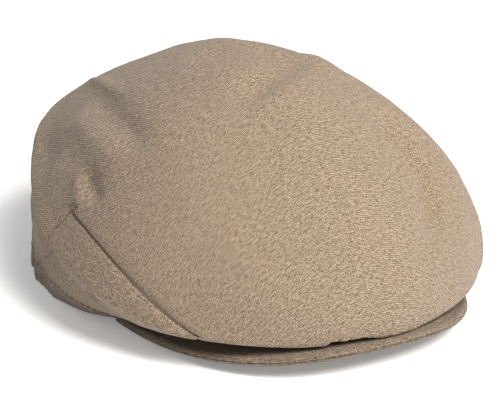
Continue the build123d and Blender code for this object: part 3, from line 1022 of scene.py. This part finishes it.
class CAP_OT_lining(bpy.types.Operator):
    """Make the three panels of the cotton lining"""

    bl_idname = "cap.lining"
    bl_label = "Lining"

    def execute(self, context):
        heights = {"low": LINING_HEM_Z, "front_high": LINING_HEM_FRONT_Z}
        cotton = "cotton_lining"
        points = crown(*top_grid(81, 111, 21), LINING_DEPTH, **heights)
        points = points + normals(points) * self.sag(points)[..., None]
        top = cloth_piece("lining_top_cloth", points, LINING_THICK, cotton, ["lining_top"])
        side = crown(*side_grid(81, 25), LINING_DEPTH, **heights)
        side = side + normals(side) * self.sag(side)[..., None]
        for name, mirrored in (("left", False), ("right", True)):
            piece = cloth_piece(
                f"lining_side_{name}_cloth",
                side,
                LINING_THICK,
                cotton,
                [f"lining_side_{name}"],
                mirrored,
            )
        return {"FINISHED"}

    def sag(self, points):
        """The lining hangs half a millimetre slack, and gives way where the linen or its mirror dips."""
        hollow = np.minimum(folded(points), folded(points * [-1, 1, 1]))
        return np.minimum(hollow, 0) + 0.2 * ripple(points, 31, 24) - 0.5


class CAP_OT_seam_tapes(bpy.types.Operator):
    """Make the tapes that cover the inside of the two side seams"""

    bl_idname = "cap.seam_tapes"
    bl_label = "Side seam tapes"

    def execute(self, context):
        along = seam_line(np.linspace(0.02, 0.98, 141))
        run = np.gradient(along, axis=0)
        # The tape turns the apex as one smooth band
        run = eased(run[:, None], TAPE_TURN_ROWS)[:, 0]
        across = np.stack([-run[:, 1], run[:, 0]], axis=-1) / np.linalg.norm(run, axis=1)[:, None]
        offsets = np.linspace(-1, 1, 9)[:, None, None] * TAPE_HALF_WIDTH / CROWN_WIDTH * 2
        turn, reach = from_plan(along[None] + offsets * across[None])
        points = crown(turn, np.clip(reach, 0, 1 + RIM_TO_HEM), TAPE_DEPTH)
        for name, mirrored in (("left", False), ("right", True)):
            node = f"side_seam_tape_{name}"
            piece = cloth_piece(f"{node}_cloth", points, TAPE_THICK, "cotton_tape", [node], mirrored)
        return {"FINISHED"}


class CAP_OT_sweatband(bpy.types.Operator):
    """Make the twill sweatband and the blank ribbon label on its back"""

    bl_idname = "cap.sweatband"
    bl_label = "Sweatband and label"

    def execute(self, context):
        turns = np.radians(np.linspace(-180 + SWEATBAND_JOIN, 180 - SWEATBAND_JOIN, 361))
        section = rounded_section(*SWEATBAND_DEPTHS, 0.0, SWEATBAND_HEIGHT, 0.45)
        face = np.linspace(0.06, 0.94, 9) * SWEATBAND_HEIGHT
        # A stitch row near each edge pulls a shallow furrow into the face towards the head
        rows = (SWEATBAND_STITCH, SWEATBAND_HEIGHT - SWEATBAND_STITCH)
        furrow = 0.35 * sum(bell(face - row, 1.2) for row in rows)
        section = np.concatenate([section, np.stack([SWEATBAND_DEPTHS[1] - furrow, face], axis=-1)])
        points = head_section(section, turns, HEM_Z, HEM_FRONT_Z)
        band = swept_piece("sweatband_cloth", points, "cotton_twill", ["sweatband"])
        turns = np.radians(np.linspace(180 - LABEL_HALF_TURN, 180 + LABEL_HALF_TURN, 41))
        section = rounded_section(5.55, 5.95, 7.0, 22.0, 0.15)
        points = head_section(section, turns)
        label = swept_piece("size_label_ribbon", points, "satin_ribbon", ["size_label"])
        return {"FINISHED"}


def stitch_row(name, points, outwards, length, pitch, lift, node):
    """A row of stitches along a line: short threads of round section, whose ends sink into the cloth."""
    steps = np.linalg.norm(np.diff(points, axis=0), axis=1)
    total = np.concatenate([[0], np.cumsum(steps)])
    count = int(total[-1] // pitch)
    middles = (np.arange(count) + 0.5) * total[-1] / count

    def at(values, place):
        return np.stack([np.interp(place, total, values[:, k]) for k in range(3)], axis=-1)

    rings, sides = np.linspace(-1, 1, 7), np.arange(6) * math.pi / 3
    along = middles[:, None] + rings * length / 2
    centres = at(points, along.ravel()).reshape(count, len(rings), 3)
    up = at(outwards, along.ravel()).reshape(centres.shape)
    up = up / np.linalg.norm(up, axis=-1, keepdims=True)
    run = np.gradient(centres, axis=1)
    run = run / np.linalg.norm(run, axis=-1, keepdims=True)
    sideways = np.cross(up, run)
    sink = (lift - 0.45 * rings**6)[None, :, None]
    girth = (THREAD / 2 * np.sqrt(1.05 - rings**4))[None, :, None, None]
    ring = (
        np.cos(sides)[None, None, :, None] * sideways[:, :, None]
        + np.sin(sides)[None, None, :, None] * up[:, :, None]
    )
    tubes = (centres + up * sink)[:, :, None] + ring * girth
    one = grid_faces(len(rings), len(sides), closed=True)[:, ::-1]
    size = len(rings) * len(sides)
    shifts = np.arange(count)[:, None, None] * size
    quads = (one[None] + shifts).reshape(-1, 4)
    first, last = np.arange(len(sides)), size - len(sides) + np.arange(len(sides))[::-1]
    caps = [*(first + k * size for k in range(count)), *(last + k * size for k in range(count))]
    piece = new_mesh(name, tubes, quads, caps=caps)
    return finished(piece, "polyester_sewing_thread", [node])


class CAP_OT_stitching(bpy.types.Operator):
    """Sew the rows of stitches along the visor's edge and the rear casing, and the tacks of the lip"""

    bl_idname = "cap.stitching"
    bl_label = "Stitching"

    def execute(self, context):
        tau = np.radians(np.linspace(-VISOR_SIDE_TURN, VISOR_SIDE_TURN, 401))
        x, y = visor_edge(tau, TOPSTITCH_INSET)
        slope = -2 * (VISOR_CENTRE_Z - VISOR_SIDE_Z) * x / VISOR_HALF_WIDTH**2
        points = np.stack([x, y, arch(x) + VISOR_THICKNESS - 0.5], axis=-1)
        up = np.stack([-slope, 0 * x, 1 + 0 * x], axis=-1)
        stitch_row("visor_topstitching_thread", points, up, *TOPSTITCH, 0.2, "visor_topstitching")
        turns = np.radians(np.linspace(CASING_START, 360 - CASING_START, 721))
        low, high = np.full_like(turns, 1.0), np.full_like(turns, 1 + RIM_TO_HEM)
        # The wall's height only falls as reach grows, so halving finds the reach at the stitches' height
        for _ in range(20):
            middle = (low + high) / 2
            above = crown(turns, middle)[:, 2] > CASING_STITCH_Z
            low, high = np.where(above, middle, low), np.where(above, high, middle)
        points = crown(turns, middle)
        round_cap = np.gradient(points, axis=0)
        rise = crown(turns, middle - 0.01) - points
        up = np.cross(round_cap, rise)
        up = up / np.linalg.norm(up, axis=-1, keepdims=True)
        up = up * np.sign(np.sum(up * (points - HEAD_MIDDLE)))
        points = points + up * (relief(points, turns) - 0.05)[:, None]
        stitch_row("casing_stitching_thread", points, up, *CASING_STITCH, 0.1, "casing_stitching")
        tack = np.linspace(-1.6, 1.6, 21)[:, None] * [1, 0, 0]
        places = [(x, TACK_Y + shift, arch(x) + VISOR_THICKNESS) for x in TACK_XS for shift in (-0.4, 0.4)]
        up = np.broadcast_to([0.0, 0.0, 1.0], (21, 3))
        for index, place in enumerate(places):
            stitch_row(f"lip_tack_{index}_thread", tack + place, up, 3.0, 3.1, 0.25, "lip_tack_stitches")
        return {"FINISHED"}


def stage_material():
    """Painted board, sprayed matt white: it gives the floor a soft, even white."""
    tree = new_material("matt_white_board")
    tooth = noise(tree, add(tree, "ShaderNodeTexCoord").outputs["Object"], 900.0)
    base = shaded(tree, colour("#f4f5f7"), colour("#f9fafb"), tooth)
    # A little light of its own stands for the lit sweep under a product table's white top
    finish_material(
        tree,
        base,
        tooth,
        0.02,
        roughness=0.9,
        specular_ior_level=0.1,
        emission_color=(1.0, 1.0, 1.0, 1.0),
        emission_strength=0.2,
    )


def area_light(name, place, target, size, power, tint):
    """A square area light at a place that faces a target."""
    lamp = bpy.data.lights.new(name, "AREA")
    lamp.shape = "SQUARE"
    lamp.size = size
    lamp.energy = power
    lamp.color = colour(tint)[:3]
    light = bpy.data.objects.new(name, lamp)
    light.location = place
    light.rotation_euler = (Vector(place) - Vector(target)).to_track_quat("Z", "Y").to_euler()
    bpy.context.collection.objects.link(light)


class CAP_OT_studio(bpy.types.Operator):
    """Set up the white floor, the soft light and the camera"""

    bl_idname = "cap.studio"
    bl_label = "Studio"

    def execute(self, context):
        studio = context.scene.cap_studio
        lowest = CAD_BOX[0][2] / MM
        half = 4000.0
        corners = np.array([[x * half, y * half, lowest] for x, y in ((-1, -1), (1, -1), (1, 1), (-1, 1))])
        floor = new_mesh("floor", corners, np.array([[0, 1, 2, 3]]))
        stage_material()
        floor.data.materials.append(bpy.data.materials["matt_white_board"])
        world = bpy.data.worlds.new("white_room")
        world.use_nodes = True
        world.node_tree.nodes["Background"].inputs["Color"].default_value = (1.0, 1.0, 1.0, 1.0)
        world.node_tree.nodes["Background"].inputs["Strength"].default_value = studio.surround
        context.scene.world = world
        target = Vector(TARGET)
        area_light("key_light", KEY_PLACE, target, KEY_SIZE, studio.key_power, "#fffaf4")
        context.scene.view_settings.view_transform = "Standard"
        a, e = studio.azimuth, studio.elevation
        back = Vector((math.sin(a) * math.cos(e), -math.cos(a) * math.cos(e), math.sin(e)))
        right = Vector((math.cos(a), math.sin(a), 0.0))
        up = back.cross(right)
        # The cap sits a little above and right of the middle of the view
        aim = target - up * 4.65 * MM - right * 1.38 * MM
        camera = bpy.data.objects.new("camera", bpy.data.cameras.new("camera"))
        camera.data.lens = studio.lens
        camera.data.sensor_width = 36.0
        camera.data.clip_start = 0.05
        camera.location = target + back * studio.distance
        camera.rotation_euler = (camera.location - aim).to_track_quat("Z", "Y").to_euler()
        context.collection.objects.link(camera)
        context.scene.camera = camera
        return {"FINISHED"}


PIECES = (
    CAP_OT_lining,
    CAP_OT_sweatband,
    CAP_OT_seam_tapes,
    CAP_OT_crown_top,
    CAP_OT_side_panels,
    CAP_OT_lip_facing,
    CAP_OT_rear_casing,
    CAP_OT_visor,
    CAP_OT_stitching,
    CAP_OT_studio,
)


class CAP_PT_build(bpy.types.Panel):
    """Lists the cap's pieces and its sizes and colours"""

    bl_idname = "CAP_PT_build"
    bl_label = "Linen flat cap"
    bl_space_type = "VIEW_3D"
    bl_region_type = "UI"
    bl_category = "Cap"

    def draw(self, context):
        for group in (context.scene.cap_form, context.scene.cap_cloth, context.scene.cap_studio):
            box = self.layout.box()
            for name in group.__annotations__:
                box.prop(group, name)
        for operator in PIECES:
            self.layout.operator(operator.bl_idname)


GROUPS = {"cap_form": CapForm, "cap_cloth": CapCloth, "cap_studio": CapStudio}
CLASSES = (*GROUPS.values(), *PIECES, CAP_PT_build)


def register():
    for cls in CLASSES:
        bpy.utils.register_class(cls)
    for name, group in GROUPS.items():
        setattr(bpy.types.Scene, name, bpy.props.PointerProperty(type=group))


def unregister():
    for name in GROUPS:
        delattr(bpy.types.Scene, name)
    for cls in reversed(CLASSES):
        bpy.utils.unregister_class(cls)


def main():
    """Makes every piece and the studio."""
    register()
    for operator in PIECES:
        group, name = operator.bl_idname.split(".")
        getattr(getattr(bpy.ops, group), name)()


if __name__ == "__main__":
    main()
